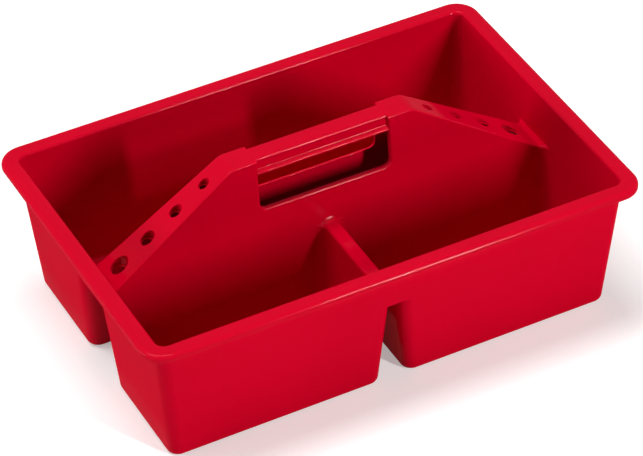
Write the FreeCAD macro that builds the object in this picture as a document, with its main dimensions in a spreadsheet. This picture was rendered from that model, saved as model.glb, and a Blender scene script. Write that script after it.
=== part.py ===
import FreeCAD
import Part
import Sketcher
import os
import re

# Open carrying caddy, moulded in one piece: one long bin behind a hollow raised spine, two short bins in
# front of it, a divider between those two, tool holes down both slopes of the spine, a hand grip over an
# opening at its top and a flat rim all round. The sections of the moulding are separate solids that meet
# face to face. Millimetres, +Z up, origin on the resting plane under the middle, front towards -Y.

SIZES = (
    ("rim_length", 467.0, "length over the rim"),
    ("rim_width", 315.0, "width over the rim"),
    ("rim_height", 134.5, "rim top above the resting plane"),
    ("rim_overhang", 12.4, "rim beyond the outer wall faces"),
    ("rim_thickness", 3.6, "thickness of the rim's flat"),
    ("rim_drop", 7.0, "height of the rim over its turned-down edge"),
    ("rim_edge_wall", 2.6, "thickness of the turned-down edge"),
    ("rim_corner", 22.0, "plan radius of the rim corners"),
    ("rim_edge", 4.4, "round on the outer top edge of the rim"),
    ("rim_roll", 3.3, "round from the rim down into the bins"),
    ("rim_underedge", 0.8, "round on the lower outer edge of the rim"),
    ("wall", 3.0, "thickness of walls, floors and webs"),
    ("draft_angle", 4.9, "lean of every upright wall, degrees"),
    ("corner_radius", 11.0, "outer radius of the upright corners"),
    ("foot_radius", 5.7, "round along the bottom edges of the bins"),
    ("floor_radius", 4.0, "round between bin floor and bin walls"),
    ("deck_height", 92.0, "top of the divider and of the end bridges"),
    ("deck_round", 2.4, "round on the free edges of the deck"),
    ("divider_width", 13.5, "width of the divider at its top"),
    ("spine_height", 175.0, "top of the spine"),
    ("spine_width", 25.0, "width of the spine at its top"),
    ("spine_flat", 172.0, "length of the level top of the spine"),
    ("end_flat", 5.9, "length of the level web between a slope's foot and the end wall"),
    ("bend_radius", 14.0, "outer radius where a slope meets the level top"),
    ("spine_edge", 1.6, "round on the long top edges of the spine"),
    ("opening_length", 125.0, "length of the hand opening"),
    ("opening_sill", 125.8, "height of the hand opening's sill"),
    ("opening_depth", 6.0, "depth of the turned-in edge of the hand opening in front"),
    ("opening_corner", 6.0, "radius of the hand opening's lower corners"),
    ("opening_edge", 2.4, "round on the edges of the hand opening"),
    ("rear_opening_edge", 0.5, "round on the inner edge of the hand opening at the rear"),
    ("grip_width", 17.6, "width of the grip bar at its top"),
    ("grip_height", 14.5, "height of the grip bar"),
    ("grip_edge", 2.2, "round on the top edges of the grip"),
    ("grip_wall", 2.6, "thickness of the grip's skirts"),
    ("lip_reach", 3.4, "how far the lip stands out below the skirt"),
    ("lip_height", 4.6, "height of the lip, flare included"),
    ("lip_edge", 1.2, "round on the edges of the lip"),
    ("hole_foot_margin", 19.6, "lowest tool hole from the foot of its slope"),
    ("hole_top_margin", 21.1, "highest tool hole from the top of its slope"),
    ("hole_a_bore", 15.9, "bore of the lowest tool hole"),
    ("hole_b_bore", 12.7, "bore of the second tool hole"),
    ("hole_c_bore", 11.1, "bore of the third tool hole"),
    ("hole_d_bore", 9.5, "bore of the highest tool hole"),
    ("sleeve_wall", 1.8, "thickness of the sleeves below the tool holes"),
    ("ledge_width", 1.0, "inward ledge at the bottom of a sleeve"),
    ("ledge_depth", 1.0, "ledge below the lowest point of the hole's lip"),
    ("ledge_thickness", 1.2, "thickness of the ledge"),
)

# Faces shared by several sections, worked out once from the sizes above.
SHARED = (
    ("lean", "tan(draft_angle)"),
    ("inner_corner", "corner_radius - wall"),
    ("rim_under", "rim_height - rim_thickness"),
    ("rim_foot", "rim_height - rim_drop"),
    ("wall_x", "rim_length / 2 - rim_overhang"),
    ("wall_y", "rim_width / 2 - rim_overhang"),
    ("under_x", "wall_x - rim_thickness * lean"),
    ("under_y", "wall_y - rim_thickness * lean"),
    ("deck_x", "wall_x - (rim_height - deck_height) * lean"),
    ("deck_y", "wall_y - (rim_height - deck_height) * lean"),
    ("foot_x", "wall_x - rim_height * lean"),
    ("foot_y", "wall_y - rim_height * lean"),
    ("deck_under", "deck_height - wall"),
    ("spine_deck", "spine_width / 2 + (spine_height - deck_height) * lean"),
    ("spine_foot", "spine_width / 2 + spine_height * lean"),
    ("divider_deck", "divider_width / 2"),
    ("divider_foot", "divider_width / 2 + deck_height * lean"),
    ("slope_foot", "deck_x - wall - end_flat"),
    ("slope_run", "slope_foot - spine_flat / 2"),
    ("slope_angle", "atan((spine_height - deck_height) / slope_run)"),
    ("web_drop", "wall / cos(slope_angle)"),
    ("hole_pitch", "(slope_run - hole_foot_margin - hole_top_margin) / 3"),
    ("hole_a_place", "slope_foot - hole_foot_margin"),
    ("hole_b_place", "hole_a_place - hole_pitch"),
    ("hole_c_place", "hole_b_place - hole_pitch"),
    ("hole_d_place", "hole_c_place - hole_pitch"),
    ("opening_half", "opening_length / 2"),
    ("grip_under", "spine_height - grip_height"),
)

HOLES = ("a", "b", "c", "d")

# Working room for cutting solids that have to run past the faces that they trim.
SPARE = "20"
SPREAD = f"2 * (spine_foot + {SPARE})"
SPINE_ENDS = f"-slope_foot - {SPARE}", f"slope_foot + {SPARE}"

# The inner corner of the spine's bent top web, seen from the side.
WEB_UNDER = "spine_height - wall"
BEND_UNDER = "spine_flat / 2 - wall * tan(slope_angle / 2)"

# Turns a block that is drawn lying, with its height along Y, upright.
STANDING = FreeCAD.Placement(FreeCAD.Vector(), FreeCAD.Rotation(FreeCAD.Vector(1, 0, 0), 90))
TOUCH = 1e-4

doc = FreeCAD.newDocument("Caddy")
sheet = doc.addObject("Spreadsheet::Sheet", "Sizes")
NAMES = {name for name, _, _ in SIZES} | {name for name, _ in SHARED}


def fill_sheet():
    """Writes the driving sizes and the shared faces into the sheet."""
    row = 1
    for name, size, meaning in SIZES:
        sheet.set(f"A{row}", meaning)
        sheet.set(f"B{row}", str(size))
        sheet.setAlias(f"B{row}", name)
        row += 1
    for name, rule in SHARED:
        sheet.set(f"A{row}", name)
        sheet.set(f"B{row}", "=" + rule)
        sheet.setAlias(f"B{row}", name)
        row += 1
    doc.recompute()


def value(rule):
    """The number that a rule written in sheet names stands for."""
    return float(sheet.evalExpression(rule))


def formula(rule):
    """The same rule as other objects have to write it."""

    def full_name(word):
        return f"Sizes.{word.group()}" if word.group() in NAMES else word.group()

    return re.sub(r"[a-z_]+", full_name, rule)


def bind(thing, **rules):
    """Ties properties of an object to rules written in sheet names."""
    for name, rule in rules.items():
        thing.setExpression(name, formula(rule))
    return thing


def new_body(name):
    """An empty body."""
    return doc.addObject("PartDesign::Body", name)


def new_sketch(body, name, role):
    """An empty sketch on one of the body's own origin planes."""
    sketch = body.newObject("Sketcher::SketchObject", name)
    plane = next(feature for feature in body.Origin.OriginFeatures if feature.Role == role)
    sketch.AttachmentSupport = [(plane, "")]
    sketch.MapMode = "FlatFace"
    return sketch


def draw(sketch, points):
    """A closed outline of straight lines whose corners follow rules in sheet names."""
    places = [FreeCAD.Vector(value(across), value(up), 0) for across, up in points]
    lines = []
    for index, place in enumerate(places):
        end = places[(index + 1) % len(places)]
        lines.append(sketch.addGeometry(Part.LineSegment(place, end), False))
    for index, line in enumerate(lines):
        after = lines[(index + 1) % len(lines)]
        sketch.addConstraint(Sketcher.Constraint("Coincident", line, 2, after, 1))
    for line, place, (across, up) in zip(lines, places, points):
        for kind, size, rule in (("DistanceX", place.x, across), ("DistanceY", place.y, up)):
            number = sketch.addConstraint(Sketcher.Constraint(kind, -1, 1, line, 1, size))
            sketch.setExpression(f"Constraints[{number}]", formula(rule))
    return sketch


def pad(body, sketch, length):
    """The outline made solid, half of the length on each side of its plane."""
    feature = body.newObject("PartDesign::Pad", "Pad")
    feature.Profile = sketch
    feature.Midplane = True
    return bind(feature, Length=length)


def frustum(body, kind, low, high, lower, upper):
    """A block with four leaning sides.

    low and high are heights, lower and upper the plan rectangles there as (x0, x1, y0, y1).
    """
    feature = body.newObject("PartDesign::" + kind, kind)
    feature.Placement = STANDING
    bind(feature, Ymin=low, Ymax=high)
    bind(feature, Xmin=lower[0], Xmax=lower[1], Zmin=f"-({lower[3]})", Zmax=f"-({lower[2]})")
    bind(feature, X2min=upper[0], X2max=upper[1], Z2min=f"-({upper[3]})", Z2max=f"-({upper[2]})")
    return feature


def fillet(body, base, radius, wanted):
    """Rounds the edges of a feature that a test picks out."""
    doc.recompute()
    names = [f"Edge{number}" for number, edge in enumerate(base.Shape.Edges, 1) if wanted(edge)]
    feature = body.newObject("PartDesign::Fillet", "Fillet")
    feature.Base = (base, names)
    return bind(feature, Radius=radius)


def stands_on(level, rectangle):
    """A test for the upright edges that start at the corners of a plan rectangle."""
    height = value(level)
    xs, ys = [value(side) for side in rectangle[:2]], [value(side) for side in rectangle[2:]]

    def is_corner(vertex):
        at_x = any(abs(vertex.X - x) < TOUCH for x in xs)
        at_y = any(abs(vertex.Y - y) < TOUCH for y in ys)
        return at_x and at_y and abs(vertex.Z - height) < TOUCH

    return lambda edge: edge.BoundBox.ZLength > TOUCH and any(is_corner(vertex) for vertex in edge.Vertexes)


def lies_at(level):
    """A test for edges that lie at one height."""
    height = value(level)
    return lambda edge: abs(edge.BoundBox.ZMin - height) < TOUCH and abs(edge.BoundBox.ZMax - height) < TOUCH


def inner_loop(shape, level):
    """A test for the edges of the hole in the level face at one height."""
    height = value(level)
    edges = []
    for face in shape.Faces:
        if len(face.Wires) > 1 and abs(face.BoundBox.ZMin - height) < TOUCH:
            holes = [wire for wire in face.Wires if not wire.isSame(face.OuterWire)]
            edges += [edge for wire in holes for edge in wire.Edges]
    return lambda edge: any(edge.isSame(other) for other in edges)


def combine(kind, name, shapes):
    """A boolean of several objects, with leftover seams on shared faces removed."""
    result = doc.addObject("Part::" + kind, name)
    result.Shapes = shapes
    result.Refine = True
    return result


def cut(name, base, tool):
    """One object less another, with leftover seams removed."""
    result = doc.addObject("Part::Cut", name)
    result.Base = base
    result.Tool = tool
    result.Refine = True
    return result


def grow(rectangle, depth):
    """A plan rectangle with every side moved outwards."""
    signs = ("-", "+", "-", "+")
    return tuple(f"{side} {sign} ({depth})" for side, sign in zip(rectangle, signs))


def shrink(rectangle, depth):
    """A plan rectangle with every side moved inwards."""
    return grow(rectangle, f"-({depth})")


def leaning_block(name, low, high, lower, upper, corner, foot=None):
    """A body with leaning sides and round upright corners, and a round along its bottom edge if given."""
    body = new_body(name)
    block = frustum(body, "AdditiveWedge", low, high, lower, upper)
    solid = fillet(body, block, corner, stands_on(low, lower))
    if foot:
        fillet(body, solid, foot, lies_at(low))
    return body


def leaning_ring(name, low, high, outer, inner):
    """A leaning wall that runs all round; outer and inner are pairs of plan rectangles at low and high."""
    block = leaning_block(name + "_outside", low, high, *outer, "corner_radius")
    space = leaning_block(name + "_inside", low, high, *inner, "inner_corner")
    return cut(name, block, space)


def centred(half_x, half_y):
    """A plan rectangle about the middle of the caddy."""
    return (f"-({half_x})", half_x, f"-({half_y})", half_y)


def flared_space(name, low, high, lower, upper, flare, foot=None):
    """The room inside a leaning wall, with a round at its mouth and open above it."""
    body = leaning_block(name, low, high, lower, upper, "inner_corner", foot)
    over = grow(upper, SPARE)
    solid = frustum(body, "AdditiveWedge", high, f"{high} + {SPARE}", over, over)
    doc.recompute()
    fillet(body, solid, flare, inner_loop(solid.Shape, high))
    return body


def make_rim():
    """The flat rim, turned down along its outer edge and rolling down into the bins inside."""
    outline = centred("rim_length / 2", "rim_width / 2")
    block = leaning_block(
        "rim_block", "rim_foot", "rim_height", outline, outline, "rim_corner", "rim_underedge")
    fillet(block, block.Tip, "rim_edge", lies_at("rim_height"))
    under = shrink(outline, "rim_edge_wall")
    hollow = leaning_block("rim_hollow", "rim_foot", "rim_under", under, under, "rim_corner - rim_edge_wall")
    low = centred("under_x - wall", "under_y - wall")
    high = centred("wall_x - wall", "wall_y - wall")
    mouth = flared_space("rim_mouth", "rim_under", "rim_height", low, high, "rim_roll")
    return cut("rim", cut("rim_shell", block, hollow), mouth)


def make_wall_band():
    """The outer wall between deck level and rim."""
    outer = centred("deck_x", "deck_y"), centred("under_x", "under_y")
    inner = tuple(shrink(rectangle, "wall") for rectangle in outer)
    return leaning_ring("wall_band", "deck_height", "rim_under", outer, inner)


def make_keep_zone():
    """The part of the deck's edge that walls stand on, where the bins' top edges stay sharp."""
    low = "deck_height - 2 * deck_round"
    fall = "2 * deck_round * lean"
    inside = centred("deck_x - wall", "deck_y - wall")
    outside = centred(f"deck_x + {SPARE}", f"deck_y + {SPARE}")
    inner = shrink(inside, fall), inside
    around = leaning_ring("walls_stand", low, "deck_height", (outside, outside), inner)
    slab = new_body("spine_stands")
    slab_low = centred("slope_foot", f"spine_deck + {fall}")
    frustum(slab, "AdditiveWedge", low, "deck_height", slab_low, centred("slope_foot", "spine_deck"))
    return combine("MultiFuse", "keep_zone", [around, slab])


def make_bin(name, at_foot, at_deck, keep_zone):
    """A bin whose free top edges are round and whose wall-bearing edges are sharp.

    Returns the bin and its filled outer block, which trims what fits between the bins.
    """
    block = leaning_block(
        name + "_block", "0", "deck_height", at_foot, at_deck, "corner_radius", "foot_radius")
    space_low = grow(shrink(at_foot, "wall"), "wall * lean")
    space_high = shrink(at_deck, "wall")
    space = flared_space(
        name + "_space", "wall", "deck_height", space_low, space_high, "deck_round", "floor_radius")
    return cut(name, block, cut(name + "_mould", space, keep_zone)), block


def make_bins(keep_zone):
    """The long rear bin and the two front bins."""
    gap_deck, gap_foot = "spine_deck - wall", "spine_foot - wall"
    side_deck, side_foot = "divider_deck - wall", "divider_foot - wall"
    plans = {
        "rear_bin": (("-foot_x", "foot_x", gap_foot, "foot_y"), ("-deck_x", "deck_x", gap_deck, "deck_y")),
        "front_left_bin": (
            ("-foot_x", f"-({side_foot})", "-foot_y", f"-({gap_foot})"),
            ("-deck_x", f"-({side_deck})", "-deck_y", f"-({gap_deck})"),
        ),
        "front_right_bin": (
            (side_foot, "foot_x", "-foot_y", f"-({gap_foot})"),
            (side_deck, "deck_x", "-deck_y", f"-({gap_deck})"),
        ),
    }
    return {name: make_bin(name, *plan, keep_zone) for name, plan in plans.items()}


def plate(name, x0, x1, y0, y1):
    """A level plate just under deck height."""
    box = doc.addObject("Part::Box", name)
    bind(box, Length=f"({x1}) - ({x0})", Width=f"({y1}) - ({y0})", Height="deck_height - deck_under")
    bind(box, **{"Placement.Base.x": x0, "Placement.Base.y": y0, "Placement.Base.z": "deck_under"})
    return box


def make_bridges(blocks):
    """The level webs that close the gaps between the bins at deck height."""
    hull = new_body("deck_hull")
    under = centred("deck_x - wall * lean", "deck_y - wall * lean")
    frustum(hull, "AdditiveWedge", "deck_under", "deck_height", under, centred("deck_x", "deck_y"))
    all_blocks = combine("MultiFuse", "bin_blocks", blocks)
    reach = "corner_radius + spine_deck - wall"
    spread = "corner_radius + divider_deck - wall"
    plans = {
        "left_end_bridge": (f"-deck_x - {SPARE}", "-slope_foot", f"-({reach})", reach),
        "right_end_bridge": ("slope_foot", f"deck_x + {SPARE}", f"-({reach})", reach),
        "divider_bridge": (f"-({spread})", spread, f"-deck_y - {SPARE}", "-(spine_deck - wall)"),
    }
    bridges = []
    for name, plan in plans.items():
        web = combine("MultiCommon", name + "_web", [plate(name + "_plate", *plan), hull])
        bridges.append(cut(name, web, all_blocks))
    return bridges


def spine_half(height):
    """Half the width of the spine over its outer faces at some height."""
    return f"spine_width / 2 + (spine_height - ({height})) * lean"


def trim(body, sign, low, high, inset, outwards, ends=SPINE_ENDS):
    """Takes away one side of a leaning face of the spine.

    sign picks the front (-1) or rear (+1) face, inset moves the face inwards, outwards says whether the
    material beyond the face goes or the material within it, and ends are the lengthwise limits of the cut.
    """
    far = f"spine_foot + {SPARE}" if outwards else f"-spine_foot - {SPARE}"
    rectangles = []
    for height in (low, high):
        face = f"{spine_half(height)} - {inset}"
        sides = (face, far) if outwards else (far, face)
        if sign < 0:
            sides = tuple(f"-({side})" for side in reversed(sides))
        rectangles.append((*ends, *sides))
    return frustum(body, "SubtractiveWedge", low, high, *rectangles)


def crosses_at(across, up):
    """A test for edges that run front to back at one place in the spine's side view."""
    x, z = value(across), value(up)
    return lambda edge: all(abs(v.X - x) < TOUCH and abs(v.Z - z) < TOUCH for v in edge.Vertexes)


def on_face(edge, inset):
    """Whether an edge lies in a leaning face of the spine, moved inwards by an inset."""
    half, top, lean = value("spine_width / 2"), value("spine_height"), value("lean")
    points = edge.discretize(3)
    return all(abs(abs(p.y) - (half + (top - p.z) * lean - inset)) < TOUCH for p in points)


def make_rail(name, sign):
    """One slope of the spine with its shoulder and its four tool holes."""
    body = new_body(name)
    side = "" if sign > 0 else "-1 * "
    points = (
        (f"{side}slope_foot", "deck_height"),
        (f"{side}spine_flat / 2", "spine_height"),
        (f"{side}opening_half", "spine_height"),
        (f"{side}opening_half", WEB_UNDER),
        (f"{side}({BEND_UNDER})", WEB_UNDER),
        (f"{side}slope_foot", "deck_height - web_drop"),
    )
    solid = pad(body, draw(new_sketch(body, name + "_profile", "XZ_Plane"), points), SPREAD)
    solid = fillet(body, solid, "bend_radius", crosses_at(*points[1]))
    solid = fillet(body, solid, "bend_radius - wall", crosses_at(*points[4]))
    for face in (-1, 1):
        solid = trim(body, face, f"deck_height - {SPARE}", f"spine_height + {SPARE}", "0", outwards=True)
    drop, rise = value("web_drop"), value("tan(slope_angle)")
    foot, deck, top = value("slope_foot"), value("deck_height"), value("spine_height")

    def is_top_edge(edge):
        middle = edge.valueAt((edge.FirstParameter + edge.LastParameter) / 2)
        crest = min(top, deck + (foot - abs(middle.x)) * rise)
        return edge.BoundBox.XLength > TOUCH and on_face(edge, 0) and middle.z > crest - drop / 2

    solid = fillet(body, solid, "spine_edge", is_top_edge)
    holes = new_sketch(body, name + "_holes", "XY_Plane")
    for letter in HOLES:
        place, bore = f"{side}hole_{letter}_place", f"hole_{letter}_bore / 2"
        middle = FreeCAD.Vector(value(place), 0, 0)
        up = FreeCAD.Vector(0, 0, 1)
        ring = holes.addGeometry(Part.Circle(middle, up, value(bore)), False)
        holes.addConstraint(Sketcher.Constraint("PointOnObject", ring, 3, -1))
        number = holes.addConstraint(Sketcher.Constraint("DistanceX", -1, 1, ring, 3, value(place)))
        holes.setExpression(f"Constraints[{number}]", formula(place))
        number = holes.addConstraint(Sketcher.Constraint("Radius", ring, value(bore)))
        holes.setExpression(f"Constraints[{number}]", formula(bore))
    pocket = body.newObject("PartDesign::Pocket", "Holes")
    pocket.Profile = holes
    pocket.Type = "ThroughAll"
    pocket.Midplane = True
    for face in (-1, 1):
        trim(body, face, f"deck_height - {SPARE}", "deck_height", "wall", outwards=True)
    return body


def make_panel(name, sign, depth, outer_edge, inner_edge):
    """One leaning side of the spine above deck height, with the opening for the hand.

    depth is the depth of the opening's edge, which is turned in where that is more than the wall, and the two
    edges are the rounds on its outer and inner sides.
    """
    body = new_body(name)
    start = "slope_foot - web_drop / tan(slope_angle)"
    points = (
        (f"-1 * ({start})", "deck_height"),
        (start, "deck_height"),
        (BEND_UNDER, WEB_UNDER),
        ("opening_half", WEB_UNDER),
        ("opening_half", "opening_sill"),
        ("-opening_half", "opening_sill"),
        ("-opening_half", WEB_UNDER),
        (f"-1 * ({BEND_UNDER})", WEB_UNDER),
    )
    solid = pad(body, draw(new_sketch(body, name + "_profile", "XZ_Plane"), points), SPREAD)
    for corner, radius in ((2, "bend_radius - wall"), (7, "bend_radius - wall"),
                           (4, "opening_corner"), (5, "opening_corner")):
        solid = fillet(body, solid, radius, crosses_at(*points[corner]))
    bottom, top = f"deck_height - {SPARE}", f"spine_height + {SPARE}"
    trim(body, sign, bottom, top, "0", outwards=True)
    solid = trim(body, sign, bottom, top, depth, outwards=False)
    half, sill = value("opening_half"), value("opening_sill")

    def rounds_opening(inset):
        def is_edge(edge):
            box = edge.BoundBox
            inside = max(abs(box.XMin), abs(box.XMax)) < half + TOUCH and box.ZMin > sill - TOUCH
            return inside and on_face(edge, inset)

        return is_edge

    solid = fillet(body, solid, outer_edge, rounds_opening(0))
    fillet(body, solid, inner_edge, rounds_opening(value(depth)))
    if depth == "wall":
        return body
    edge_under, edge_side = "opening_sill - wall", "opening_half + wall"
    trim(body, sign, bottom, edge_under, "wall", outwards=False)
    trim(body, sign, edge_under, top, "wall", outwards=False, ends=(edge_side, SPINE_ENDS[1]))
    trim(body, sign, edge_under, top, "wall", outwards=False, ends=(SPINE_ENDS[0], f"-({edge_side})"))
    return body


def make_grip():
    """The grip bar: a hollow bar with skirts and a lip below each skirt."""
    body = new_body("grip")
    lip_top, lip_middle = "grip_under + lip_height", "grip_under + lip_height / 2"
    skirt = f"grip_width / 2 + (spine_height - ({lip_top})) * lean"
    lip = f"{skirt} + lip_reach"

    def inside(height):
        return f"grip_width / 2 - grip_wall + (spine_height - ({height})) * lean"

    half = (
        ("grip_width / 2", "spine_height"),
        (skirt, lip_top),
        (lip, lip_middle),
        (lip, "grip_under"),
        (inside("grip_under"), "grip_under"),
        (inside(WEB_UNDER), WEB_UNDER),
    )
    points = half + tuple((f"-1 * ({across})", up) for across, up in reversed(half))
    solid = pad(body, draw(new_sketch(body, "grip_profile", "YZ_Plane"), points), "opening_length")

    def runs_along(corners):
        places = [(side * value(across), value(up)) for across, up in corners for side in (1, -1)]
        return lambda edge: any(
            all(abs(v.Y - y) < TOUCH and abs(v.Z - z) < TOUCH for v in edge.Vertexes) for y, z in places)

    solid = fillet(body, solid, "grip_edge", runs_along(half[:1]))
    fillet(body, solid, "lip_edge", runs_along(half[1:4]))
    return body


def tube(name, x, low, high, outer, inner):
    """A standing tube on the spine's middle line."""
    rods = []
    for part, radius in (("outer", outer), ("inner", inner)):
        rod = doc.addObject("Part::Cylinder", f"{name}_{part}")
        bind(rod, Radius=radius, Height=f"({high}) - ({low})")
        bind(rod, **{"Placement.Base.x": x, "Placement.Base.z": low})
        rods.append(rod)
    return cut(name, *rods)


def make_sleeves(name, sign):
    """Four short sleeves below the tool holes, each ending in a narrow ledge that a tool rests in."""
    side = "" if sign > 0 else "-1 * "
    over = new_body(name + "_web")
    end = f"slope_foot + {SPARE}"
    points = (
        (f"{side}({end})", f"deck_height - web_drop - {SPARE} * tan(slope_angle)"),
        (f"{side}({BEND_UNDER})", WEB_UNDER),
        (f"{side}({BEND_UNDER})", f"spine_height + {SPARE}"),
        (f"{side}({end})", f"spine_height + {SPARE}"),
    )
    pad(over, draw(new_sketch(over, name + "_web_profile", "XZ_Plane"), points), SPREAD)
    sleeves = []
    for letter in HOLES:
        place, bore = f"hole_{letter}_place", f"hole_{letter}_bore / 2"
        x = f"{side}{place}"
        middle = f"deck_height + (slope_foot - {place}) * tan(slope_angle)"
        ledge = f"{middle} - {bore} * tan(slope_angle) - ledge_depth"
        base = f"{ledge} - ledge_thickness"
        shell = tube(f"{name}_{letter}_shell", x, base, "spine_height", f"{bore} + sleeve_wall", bore)
        below = cut(f"{name}_{letter}_below", shell, over)
        rest = tube(f"{name}_{letter}_ledge", x, base, ledge, bore, f"{bore} - ledge_width")
        sleeves.append(combine("MultiFuse", f"{name}_{letter}", [below, rest]))
    group = doc.addObject("Part::Compound", name)
    group.Links = sleeves
    return group


def check_document():
    """Stops if any object failed or any shape is broken."""
    doc.recompute()
    for thing in doc.Objects:
        if "Invalid" in thing.State or "Error" in thing.State:
            raise RuntimeError(f"{thing.Label} failed: {thing.State}")


def write_node(node):
    """Writes one section as a STEP file named after it."""
    shape = node.Shape
    if shape.isNull() or not shape.isValid() or not shape.Solids:
        raise RuntimeError(f"{node.Label} has no valid solid")
    solids = shape.Solids
    whole = solids[0] if len(solids) == 1 else Part.makeCompound(solids)
    whole.exportStep(f"parts/{node.Label}.step")
    print(f"{node.Label}: {len(solids)} solid, {whole.Volume / 1000:.1f} cm3")


def main():
    """Builds every section, checks the document and writes the sections."""
    fill_sheet()
    bins = make_bins(make_keep_zone())
    nodes = [node for node, _ in bins.values()]
    nodes += make_bridges([block for _, block in bins.values()])
    nodes += [make_wall_band(), make_rim(), make_grip()]
    nodes.append(make_panel("spine_front_panel", -1, "opening_depth", "opening_edge", "opening_edge"))
    slim_edge = "min(opening_edge; wall - 2 * rear_opening_edge)"
    nodes.append(make_panel("spine_rear_panel", 1, "wall", slim_edge, "rear_opening_edge"))
    for side, sign in (("left", -1), ("right", 1)):
        nodes += [make_rail(f"{side}_tool_rail", sign), make_sleeves(f"{side}_tool_sleeves", sign)]
    check_document()
    os.makedirs("parts", exist_ok=True)
    for node in nodes:
        write_node(node)


main()
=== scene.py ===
"""Dresses a moulded plastic carry caddy and stages it for a studio picture.

The caddy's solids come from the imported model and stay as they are. This file gives them their finish, adds the
small marks and blends that a mould leaves, and sets up the floor, the light and the camera. Metres, +Z up, the
caddy's front towards -Y.
"""

import logging
import math
from dataclasses import dataclass, field
from enum import Enum
from typing import Any, Dict, List, Mapping, Optional, Sequence, Tuple, Union

import bmesh
import bpy
from mathutils import Matrix, Vector


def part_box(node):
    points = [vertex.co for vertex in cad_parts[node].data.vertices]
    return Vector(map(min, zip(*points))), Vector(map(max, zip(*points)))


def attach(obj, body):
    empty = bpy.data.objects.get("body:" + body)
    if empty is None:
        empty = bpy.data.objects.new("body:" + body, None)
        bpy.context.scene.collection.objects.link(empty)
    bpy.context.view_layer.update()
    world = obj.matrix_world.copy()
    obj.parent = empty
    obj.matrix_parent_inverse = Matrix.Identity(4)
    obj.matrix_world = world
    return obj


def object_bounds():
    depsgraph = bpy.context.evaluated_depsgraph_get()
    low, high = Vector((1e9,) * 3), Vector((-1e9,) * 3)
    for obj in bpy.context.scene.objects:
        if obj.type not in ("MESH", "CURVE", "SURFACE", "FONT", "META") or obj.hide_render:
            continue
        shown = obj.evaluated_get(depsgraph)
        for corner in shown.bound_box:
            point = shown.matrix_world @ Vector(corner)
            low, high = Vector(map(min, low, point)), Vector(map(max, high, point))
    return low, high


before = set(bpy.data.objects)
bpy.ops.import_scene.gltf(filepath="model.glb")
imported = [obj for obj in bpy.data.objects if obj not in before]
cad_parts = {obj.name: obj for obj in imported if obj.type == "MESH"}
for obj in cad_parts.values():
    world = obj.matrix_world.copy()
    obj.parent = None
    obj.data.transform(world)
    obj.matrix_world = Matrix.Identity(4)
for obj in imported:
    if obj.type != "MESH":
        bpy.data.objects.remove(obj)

CAD_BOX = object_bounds()
BODY = "root"
MM = 0.001

log = logging.getLogger("caddy")

Colour = Tuple[float, float, float]
Span = Tuple[float, float]
Number = Union[float, "Value"]
WHITE = (1.0, 1.0, 1.0, 1.0)
NOISE_MEAN = 0.5


class Axis(Enum):
    """The axes of the caddy's frame, as Separate XYZ numbers its outputs."""

    X = 0
    Y = 1
    Z = 2


class Value:
    """A number or colour on its way through a shader, used like a Python number."""

    def __init__(self, sketch: "ShaderSketch", socket: bpy.types.NodeSocket) -> None:
        """Wraps a socket.

        Args:
            sketch: The node tree that the socket belongs to.
            socket: The output socket.
        """
        self.sketch = sketch
        self.socket = socket

    def _math(self, operation: str, first: Number, second: Number = 0.0) -> "Value":
        """Adds one Math node.

        Args:
            operation: Blender's name for the operation.
            first: The left operand.
            second: The right operand, where there is one.

        Returns:
            The node's output.
        """
        return self.sketch.node("ShaderNodeMath", {"operation": operation}, {0: first, 1: second})

    def __add__(self, other: Number) -> "Value":
        """The sum."""
        return self._math("ADD", self, other)

    __radd__ = __add__

    def __sub__(self, other: Number) -> "Value":
        """The difference."""
        return self._math("SUBTRACT", self, other)

    def __rsub__(self, other: Number) -> "Value":
        """The difference, the other way round."""
        return self._math("SUBTRACT", other, self)

    def __mul__(self, other: Number) -> "Value":
        """The product."""
        return self._math("MULTIPLY", self, other)

    __rmul__ = __mul__

    def __abs__(self) -> "Value":
        """The size without its sign."""
        return self._math("ABSOLUTE", self)

    def __gt__(self, other: Number) -> "Value":
        """1 where this is the greater, and 0 elsewhere."""
        return self._math("GREATER_THAN", self, other)

    def at_least(self, other: Number) -> "Value":
        """The greater of the two."""
        return self._math("MAXIMUM", self, other)

    def ramp(self, start: float, end: float) -> "Value":
        """A smooth step.

        Args:
            start: Where the step is 0.
            end: Where the step is 1.

        Returns:
            A value from 0 to 1.
        """
        return self.sketch.node(
            "ShaderNodeMapRange",
            {"interpolation_type": "SMOOTHSTEP"},
            {"Value": self, "From Min": start, "From Max": end},
        )


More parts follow.
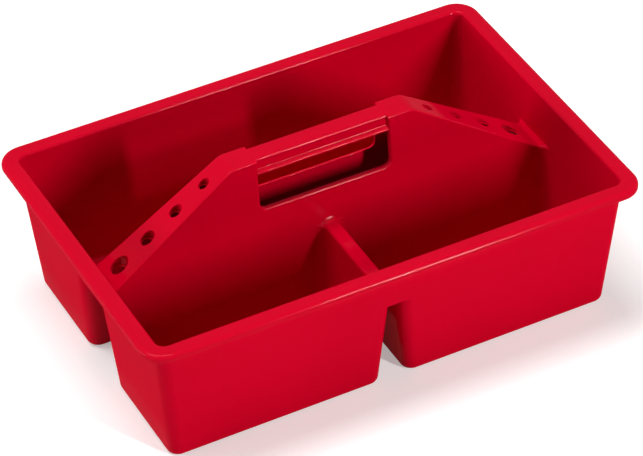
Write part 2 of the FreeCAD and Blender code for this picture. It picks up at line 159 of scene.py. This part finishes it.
class ShaderSketch:
    """The node tree of a material or a sky, drawn from Python expressions."""

    def __init__(self, owner: Union[str, bpy.types.World]) -> None:
        """Starts an empty tree.

        Args:
            owner: A name for a new material, or the sky that the tree is for.
        """
        self.owner = bpy.data.materials.new(owner) if isinstance(owner, str) else owner
        self.owner.use_nodes = True
        self.tree = self.owner.node_tree
        self.tree.nodes.clear()
        kind = "ShaderNodeOutputMaterial" if isinstance(owner, str) else "ShaderNodeOutputWorld"
        self.output = self.tree.nodes.new(kind)

    def node(
        self,
        kind: str,
        settings: Optional[Mapping[str, Any]] = None,
        sockets: Optional[Mapping[Union[int, str], Any]] = None,
        output: Union[int, str] = 0,
    ) -> Value:
        """Adds any node.

        Args:
            kind: Blender's type name of the node.
            settings: Properties of the node, set before its sockets.
            sockets: Values or links for its input sockets, by name or number.
            output: Which output to hand back.

        Returns:
            The chosen output.
        """
        made = self.tree.nodes.new(kind)
        for name, setting in (settings or {}).items():
            setattr(made, name, setting)
        for name, given in (sockets or {}).items():
            if isinstance(given, Value):
                self.tree.links.new(given.socket, made.inputs[name])
            else:
                made.inputs[name].default_value = given
        return Value(self, made.outputs[output])

    def position(self) -> Value:
        """The surface point in the caddy's frame."""
        return self.node("ShaderNodeTexCoord", output="Object")

    def along(self, point: Value, axis: Axis) -> Value:
        """One coordinate of a point.

        Args:
            point: A vector.
            axis: Which coordinate.

        Returns:
            That coordinate.
        """
        return self.node("ShaderNodeSeparateXYZ", sockets={0: point}, output=axis.value)

    def beyond(self, point: Value, reach_x: float, reach_y: float) -> Value:
        """How far a point lies outside an upright box about the caddy's middle.

        Args:
            point: A vector.
            reach_x: Half the box's length.
            reach_y: Half its width.

        Returns:
            The distance in metres, below 0 inside the box.
        """
        past_x = abs(self.along(point, Axis.X)) - reach_x
        past_y = abs(self.along(point, Axis.Y)) - reach_y
        return past_x.at_least(past_y)

    def noise(self, point: Value, grain: float, detail: float) -> Value:
        """Cloudy noise about its mean.

        Args:
            point: Where to sample it.
            grain: Size of its blotches in metres.
            detail: How many finer layers it has.

        Returns:
            A value from 0 to 1.
        """
        sockets = {"Vector": point, "Scale": 1.0 / grain, "Detail": detail}
        return self.node("ShaderNodeTexNoise", sockets=sockets)

    def mix(self, share: Number, first: Any, second: Any) -> Value:
        """Blends two colours.

        Args:
            share: 0 gives the first, 1 the second.
            first: A colour or a link.
            second: A colour or a link.

        Returns:
            The blend.
        """
        # A Mix node keeps float, vector and colour sockets side by side under the same names.
        factor, colour_a, colour_b, colour_out = 0, 6, 7, 2
        return self.node(
            "ShaderNodeMix",
            {"data_type": "RGBA"},
            {factor: share, colour_a: first, colour_b: second},
            colour_out,
        )

    def bump(self, height: Value, distance: float, strength: float, below: Optional[Value] = None) -> Value:
        """Turns a height into a normal.

        Args:
            height: The height, from 0 to 1.
            distance: What a height of 1 stands for, in metres.
            strength: How much of the bump shows.
            below: A normal that it is laid over.

        Returns:
            The normal.
        """
        sockets: Dict[Union[int, str], Any] = {"Height": height, "Distance": distance, "Strength": strength}
        if below is not None:
            sockets["Normal"] = below
        return self.node("ShaderNodeBump", sockets=sockets)

    def looked_at(self) -> Value:
        """1 for what the camera sees, straight or in a gloss or through glass, and 0 for light on its way."""
        seen = self.node("ShaderNodeLightPath", output="Is Camera Ray")
        mirrored = self.node("ShaderNodeLightPath", output="Is Glossy Ray")
        through = self.node("ShaderNodeLightPath", output="Is Transmission Ray")
        return seen.at_least(mirrored).at_least(through)

    def close(self, surface: Value) -> Union[bpy.types.Material, bpy.types.World]:
        """Hands the surface to the tree's output.

        Args:
            surface: A shader.

        Returns:
            The finished material or sky.
        """
        self.tree.links.new(surface.socket, self.output.inputs["Surface"])
        return self.owner


def opaque(colour: Colour) -> Tuple[float, float, float, float]:
    """A colour with full alpha."""
    return (*colour, 1.0)


@dataclass(frozen=True)
class MouldedPlastic:
    """Through-coloured moulded plastic: a nearly matt body under a thin glossy skin."""

    name: str = "moulded_red_plastic"
    # The body, whose colour and roughness vary with the flow of the melt.
    colour: Colour = (0.54, 0.0, 0.016)
    deep_colour: Colour = (0.51, 0.0, 0.0148)
    flow_grain: float = 90.0 * MM
    flow_detail: float = 3.0
    flow_range: Span = (0.3, 0.7)
    roughness: float = 0.36
    roughness_swing: float = 0.08
    # The slow ripples of the walls.
    ripple_grain: float = 45.0 * MM
    ripple_detail: float = 1.0
    ripple_height: float = 0.12 * MM
    ripple_strength: float = 0.5
    # The skin, with its fine grain.
    skin_gloss: float = 0.08
    skin_roughness: float = 0.07
    skin_grain: float = 0.7 * MM
    skin_detail: float = 2.0
    skin_height: float = 0.02 * MM
    skin_strength: float = 0.4
    # The outer walls, as shares of the rim's half length and half width where they start.
    wall_matting: float = 0.6
    wall_share: Span = (0.9, 0.82)
    wall_fade: float = 3.0 * MM
    # The mould's seam, above the rim's lower edge.
    seam_rise: float = 1.7 * MM
    seam_width: float = 0.3 * MM
    seam_core: float = 0.3
    seam_inset: float = 2.0 * MM
    seam_height: float = 0.1 * MM
    seam_strength: float = 0.8
    # The handled part of the grip, as a share of its half length where it starts to fade.
    grip_polish: float = 0.08
    grip_share: float = 0.5
    # The rubbed foot.
    scuff_colour: Colour = (0.64, 0.035, 0.05)
    scuff_share: float = 0.5
    scuff_roughness: float = 0.2
    scuff_rise: Span = (0.2 * MM, 1.2 * MM)
    scuff_grain: float = 6.0 * MM
    scuff_detail: float = 5.0
    scuff_range: Span = (0.48, 0.66)

    def build(self, caddy: "CaddySizes") -> bpy.types.Material:
        """Makes the material.

        Args:
            caddy: Where the grip, the rim and the foot are.

        Returns:
            The material.
        """
        sketch = ShaderSketch(self.name)
        point = sketch.position()
        flow = sketch.noise(point, self.flow_grain, self.flow_detail)
        polish = self.polished(sketch, point, caddy)
        scuff = self.scuffed(sketch, point, caddy)
        dull = self.wall_matting * self.walled(sketch, point, caddy)
        colour = sketch.mix(flow.ramp(*self.flow_range), opaque(self.deep_colour), opaque(self.colour))
        colour = sketch.mix(scuff * self.scuff_share, colour, opaque(self.scuff_colour))
        roughness = self.roughness + (flow - NOISE_MEAN) * self.roughness_swing
        roughness = roughness - polish * self.grip_polish + scuff * self.scuff_roughness
        surface = sketch.node(
            "ShaderNodeBsdfPrincipled",
            sockets={
                "Base Color": colour,
                "Roughness": roughness,
                "Normal": self.relief(sketch, point, caddy),
                "Specular IOR Level": 0.0,
                "Coat Weight": self.skin_gloss * (1.0 - scuff) * (1.0 - dull),
                "Coat Roughness": self.skin_roughness,
            },
            output="BSDF",
        )
        return sketch.close(surface)

    def relief(self, sketch: ShaderSketch, point: Value, caddy: "CaddySizes") -> Value:
        """The fine relief: ripples, then the skin's grain, then the mould's seam.

        Args:
            sketch: The material being drawn.
            point: The surface point.
            caddy: Where the rim is.

        Returns:
            The normal.
        """
        ripples = sketch.noise(point, self.ripple_grain, self.ripple_detail)
        grain = sketch.noise(point, self.skin_grain, self.skin_detail)
        normal = sketch.bump(ripples, self.ripple_height, self.ripple_strength)
        normal = sketch.bump(grain, self.skin_height, self.skin_strength, normal)
        return sketch.bump(self.seam(sketch, point, caddy), self.seam_height, self.seam_strength, normal)

    def polished(self, sketch: ShaderSketch, point: Value, caddy: "CaddySizes") -> Value:
        """Where hands have rubbed the grip smooth.

        Args:
            sketch: The material being drawn.
            point: The surface point.
            caddy: Where the grip is.

        Returns:
            1 on the middle of the grip, fading to 0 at its ends and below it.
        """
        low, high = caddy.grip
        height = sketch.along(point, Axis.Z).ramp(low.z, high.z)
        reach = 1.0 - abs(sketch.along(point, Axis.X)).ramp(self.grip_share * high.x, high.x)
        return height * reach

    def scuffed(self, sketch: ShaderSketch, point: Value, caddy: "CaddySizes") -> Value:
        """Fine rubbing on the faces that the caddy stands on.

        Args:
            sketch: The material being drawn.
            point: The surface point.
            caddy: Where the foot is.

        Returns:
            1 in the worn streaks of the foot, and 0 above it.
        """
        foot = caddy.whole[0].z
        start, end = self.scuff_rise
        low = 1.0 - sketch.along(point, Axis.Z).ramp(foot + start, foot + end)
        streaks = sketch.noise(point, self.scuff_grain, self.scuff_detail).ramp(*self.scuff_range)
        return low * streaks

    def walled(self, sketch: ShaderSketch, point: Value, caddy: "CaddySizes") -> Value:
        """The outer walls below the rim, which the mould leaves duller.

        Args:
            sketch: The material being drawn.
            point: The surface point.
            caddy: Where the rim is.

        Returns:
            1 on the outer walls, and 0 between them and on the rim.
        """
        low, high = caddy.rim
        share_x, share_y = self.wall_share
        outer = sketch.beyond(point, share_x * high.x, share_y * high.y).ramp(0.0, self.wall_fade)
        return outer * (low.z - sketch.along(point, Axis.Z) > 0.0)

    def seam(self, sketch: ShaderSketch, point: Value, caddy: "CaddySizes") -> Value:
        """The fine line that the two halves of the mould leave round the rim.

        Args:
            sketch: The material being drawn.
            point: The surface point.
            caddy: Where the rim is.

        Returns:
            1 on the line, and 0 off it.
        """
        low, high = caddy.rim
        outside = sketch.beyond(point, high.x - self.seam_inset, high.y - self.seam_inset) > 0.0
        off = abs(sketch.along(point, Axis.Z) - (low.z + self.seam_rise))
        return outside * (1.0 - off.ramp(self.seam_core * self.seam_width, self.seam_width))


@dataclass(frozen=True)
class StudioFloor:
    """A pale matt floor that the camera sees as white, with the caddy's shadow on it."""

    name: str = "studio_floor"
    colour: Colour = (0.76, 0.76, 0.76)
    lift: float = 0.36

    def build(self) -> bpy.types.Material:
        """Makes the material.

        Returns:
            The material.
        """
        sketch = ShaderSketch(self.name)
        matt = sketch.node("ShaderNodeBsdfDiffuse", sockets={"Color": opaque(self.colour)})
        glow = sketch.node("ShaderNodeEmission", sockets={"Strength": self.lift})
        lifted = sketch.node("ShaderNodeAddShader", sockets={0: matt, 1: glow})
        surface = sketch.node("ShaderNodeMixShader", sockets={0: sketch.looked_at(), 1: matt, 2: lifted})
        return sketch.close(surface)


@dataclass
class CaddySizes:
    """Places on the caddy that the dressing needs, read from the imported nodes."""

    whole: Tuple[Vector, Vector] = CAD_BOX
    grip: Tuple[Vector, Vector] = field(default_factory=lambda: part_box("grip"))
    rim: Tuple[Vector, Vector] = field(default_factory=lambda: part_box("rim"))
    panel: Tuple[Vector, Vector] = field(default_factory=lambda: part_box("spine_front_panel"))
    divider: Tuple[Vector, Vector] = field(default_factory=lambda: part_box("divider_bridge"))

    @property
    def lean(self) -> float:
        """How far the spine's front side goes back for each metre that it rises."""
        low, high = self.panel
        return (low.y - high.y) / (low.z - high.z)


@dataclass
class Moulding:
    """The caddy's own sections, which keep their shapes and get one finish."""

    finish: MouldedPlastic
    sizes: CaddySizes

    def dress(self) -> bpy.types.Material:
        """Puts the finish on every section.

        Returns:
            The finish as a material, for pieces that are added.
        """
        material = self.finish.build(self.sizes)
        for name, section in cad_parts.items():
            for place in section.material_slots:
                place.material = material
            log.info("dressed %s", name)
        return material


def add_piece(name: str, shape: bmesh.types.BMesh, material: bpy.types.Material) -> bpy.types.Object:
    """Turns a drawn shape into a piece that goes with the caddy.

    Args:
        name: The piece's name.
        shape: Its mesh, which is used up.
        material: Its finish.

    Returns:
        The piece.
    """
    bmesh.ops.recalc_face_normals(shape, faces=shape.faces)
    mesh = bpy.data.meshes.new(name)
    shape.to_mesh(mesh)
    shape.free()
    mesh.materials.append(material)
    mesh.shade_smooth()
    piece = bpy.data.objects.new(name, mesh)
    bpy.context.scene.collection.objects.link(piece)
    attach(piece, BODY)
    log.info("added %s", name)
    return piece


@dataclass
class DividerBlend:
    """The hollow round that carries the top of the divider up into the spine's front side."""

    sizes: CaddySizes
    radius: float = 6.0 * MM
    back_width: float = 8.8 * MM
    front_width: float = 5.6 * MM
    flat: float = 0.35
    sunk: float = 0.2 * MM
    sunk_power: int = 3
    base_depth: float = 0.8 * MM
    rows: int = 20
    columns: int = 32
    crowding: float = 1.5

    def build(self, material: bpy.types.Material) -> bpy.types.Object:
        """Draws the round as a closed patch that sits in the corner.

        Args:
            material: The caddy's finish.

        Returns:
            The piece.
        """
        shape = bmesh.new()
        skin = [[shape.verts.new(self.spot(row, column)) for column in range(self.columns + 1)]
                for row in range(self.rows + 1)]
        base = [[shape.verts.new(self.under(spot.co)) for spot in line] for line in skin]
        for row in range(self.rows):
            for column in range(self.columns):
                for sheet in (skin, base):
                    shape.faces.new((sheet[row][column], sheet[row][column + 1],
                                     sheet[row + 1][column + 1], sheet[row + 1][column]))
        edge = self.outline()
        for (row, column), (next_row, next_column) in zip(edge, edge[1:] + edge[:1]):
            shape.faces.new((skin[row][column], skin[next_row][next_column],
                             base[next_row][next_column], base[row][column]))
        return add_piece("divider_blend", shape, material)

    def spot(self, row: int, column: int) -> Vector:
        """A point of the round's skin.

        Args:
            row: 0 at the spine, growing towards the front.
            column: 0 at the left, growing to the right.

        Returns:
            The point.
        """
        out = (row / self.rows) ** self.crowding
        across = 2.0 * column / self.columns - 1.0
        width = self.back_width + (self.front_width - self.back_width) * out
        hollow = self.radius * (1.0 - math.sqrt(1.0 - (1.0 - out) ** 2))
        fall = max(0.0, (abs(across) - self.flat) / (1.0 - self.flat))
        rise = hollow * math.cos(0.5 * math.pi * fall) ** 2
        back = self.sizes.panel[0].y + self.sizes.lean * rise
        deck = self.sizes.divider[1].z - self.sunk * abs(across) ** self.sunk_power
        return Vector((across * width, back - out * self.radius, deck + rise))

    def under(self, spot: Vector) -> Vector:
        """The point of the hidden base below a point of the skin.

        Args:
            spot: A point of the skin.

        Returns:
            A point inside the divider and the spine.
        """
        deck = self.sizes.divider[1].z
        return Vector((spot.x, spot.y + self.base_depth, min(spot.z, deck) - self.base_depth))

    def outline(self) -> List[Tuple[int, int]]:
        """Rows and columns of the patch's edge, in order round it."""
        last_row, last_column = self.rows, self.columns
        edge = [(0, column) for column in range(last_column)]
        edge += [(row, last_column) for row in range(last_row)]
        edge += [(last_row, column) for column in range(last_column, 0, -1)]
        return edge + [(row, 0) for row in range(last_row, 0, -1)]


@dataclass
class PinMarks:
    """The faint rings that the mould's pins leave on a bin's floor."""

    node: str
    along: int
    across: int
    floor: float = 3.0 * MM
    radius: float = 5.0 * MM
    width: float = 0.7 * MM
    height: float = 0.18 * MM
    foot: float = -0.3
    shoulder: float = 0.75
    margin: float = 34.0 * MM
    turns: int = 56

    def build(self, material: bpy.types.Material) -> bpy.types.Object:
        """Draws the rings of one bin.

        Args:
            material: The caddy's finish.

        Returns:
            The piece.
        """
        low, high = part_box(self.node)
        shape = bmesh.new()
        for x in self.spread(low.x, high.x, self.along):
            for y in self.spread(low.y, high.y, self.across):
                self.ring(shape, Vector((x, y, self.floor)))
        return add_piece(self.node + "_pin_marks", shape, material)

    def spread(self, low: float, high: float, count: int) -> List[float]:
        """Even places between two walls.

        Args:
            low: The first wall.
            high: The last wall.
            count: How many places.

        Returns:
            The places.
        """
        first, last = low + self.margin, high - self.margin
        return [first + (last - first) * step / (count - 1) for step in range(count)]

    def ring(self, shape: bmesh.types.BMesh, centre: Vector) -> None:
        """Adds one low ring with a rounded top, its base just inside the floor.

        Args:
            shape: The mesh that it goes into.
            centre: The middle of the ring on the floor.
        """
        half, quarter = self.width / 2.0, self.width / 4.0
        foot, shoulder = self.foot * self.height, self.shoulder * self.height
        profile = ((-half, foot), (-quarter, shoulder), (0.0, self.height), (quarter, shoulder), (half, foot))
        loops = []
        for turn in range(self.turns):
            angle = 2.0 * math.pi * turn / self.turns
            out = Vector((math.cos(angle), math.sin(angle), 0.0))
            loops.append([shape.verts.new(centre + out * (self.radius + step) + Vector((0.0, 0.0, rise)))
                          for step, rise in profile])
        for here, there in zip(loops, loops[1:] + loops[:1]):
            for corner in range(len(profile)):
                following = (corner + 1) % len(profile)
                shape.faces.new((here[corner], there[corner], there[following], here[following]))


def heading(azimuth: float, elevation: float) -> Vector:
    """The direction from the caddy to a lamp or the camera.

    Args:
        azimuth: Degrees to the right of the caddy's front.
        elevation: Degrees above the floor.

    Returns:
        A vector of length 1.
    """
    turn, tilt = math.radians(azimuth), math.radians(elevation)
    return Vector((math.sin(turn) * math.cos(tilt), -math.cos(turn) * math.cos(tilt), math.sin(tilt)))


@dataclass
class Lamp:
    """A soft rectangular lamp that looks at the caddy."""

    name: str
    azimuth: float
    elevation: float
    size: Tuple[float, float]
    level: float
    distance: float = 3.6
    aim_height: float = 0.1

    def build(self) -> None:
        """Hangs the lamp; its level is the light that reaches a facing surface, 1 as under a white sky."""
        out = heading(self.azimuth, self.elevation)
        data = bpy.data.lights.new(self.name, "AREA")
        data.shape = "RECTANGLE"
        data.size, data.size_y = self.size
        data.energy = self.level * (math.pi * self.distance) ** 2
        lamp = bpy.data.objects.new(self.name, data)
        lamp.location = Vector((0.0, 0.0, self.aim_height)) + out * self.distance
        lamp.rotation_euler = (-out).to_track_quat("-Z", "Y").to_euler()
        bpy.context.scene.collection.objects.link(lamp)
        log.info("hung %s", self.name)


@dataclass
class Studio:
    """Floor, faint sky and lamps."""

    floor_reach: float = 14.0
    floor_gap: float = 0.1 * MM
    sky: float = 0.02
    lamps: Sequence[Lamp] = (
        Lamp("front_right_box", azimuth=22.5, elevation=22.0, size=(0.24, 1.4), level=0.78),
        Lamp("left_box", azimuth=-110.0, elevation=6.0, size=(2.0, 0.8), level=0.53),
        Lamp("top_box", azimuth=180.0, elevation=82.0, size=(1.4, 1.4), level=0.46),
        Lamp("left_rear_box", azimuth=-120.0, elevation=66.0, size=(1.4, 1.4), level=0.56),
    )

    def build(self) -> None:
        """Sets up everything but the camera."""
        self.lay_floor()
        self.light_sky()
        for lamp in self.lamps:
            lamp.build()

    def lay_floor(self) -> None:
        """Lays the floor just below the caddy's foot."""
        mesh = bpy.data.meshes.new("floor")
        shape = bmesh.new()
        bmesh.ops.create_grid(shape, x_segments=1, y_segments=1, size=self.floor_reach)
        shape.to_mesh(mesh)
        shape.free()
        floor = bpy.data.objects.new("floor", mesh)
        floor.location.z = CAD_BOX[0].z - self.floor_gap
        mesh.materials.append(StudioFloor().build())
        bpy.context.scene.collection.objects.link(floor)

    def light_sky(self) -> None:
        """Makes a sky that is white to look at and lights the caddy only faintly."""
        world = bpy.data.worlds.new("sky")
        sketch = ShaderSketch(world)
        strength = self.sky + (1.0 - self.sky) * sketch.looked_at()
        sketch.close(sketch.node("ShaderNodeBackground", sockets={"Color": WHITE, "Strength": strength}))
        bpy.context.scene.world = world


@dataclass
class PictureCamera:
    """A long lens that looks down on the caddy from the front left."""

    azimuth: float = -26.412
    elevation: float = 39.329
    roll: float = -1.861
    distance: float = 3.1175
    target: Tuple[float, float, float] = (-0.00415, -0.01223, 0.080)
    lens: float = 202.823
    sensor: float = 36.0

    def build(self) -> None:
        """Places the camera and makes it the scene's own."""
        back = heading(self.azimuth, self.elevation)
        data = bpy.data.cameras.new("picture_camera")
        data.lens = self.lens
        data.sensor_width = self.sensor
        data.sensor_fit = "HORIZONTAL"
        camera = bpy.data.objects.new("picture_camera", data)
        upright = (-back).to_track_quat("-Z", "Y").to_matrix()
        leaning = upright @ Matrix.Rotation(math.radians(self.roll), 3, "Z")
        camera.matrix_world = Matrix.Translation(Vector(self.target) + back * self.distance) @ leaning.to_4x4()
        bpy.context.scene.collection.objects.link(camera)
        bpy.context.scene.camera = camera


def main() -> None:
    """Builds the dressing, the studio and the camera in order."""
    logging.basicConfig(level=logging.INFO, format="%(name)s: %(message)s")
    bpy.context.scene.view_settings.view_transform = "Standard"
    sizes = CaddySizes()
    material = Moulding(MouldedPlastic(), sizes).dress()
    DividerBlend(sizes).build(material)
    PinMarks("rear_bin", along=4, across=2).build(material)
    PinMarks("front_left_bin", along=2, across=2).build(material)
    PinMarks("front_right_bin", along=2, across=2).build(material)
    Studio().build()
    PictureCamera().build()


if __name__ == "__main__":
    main()
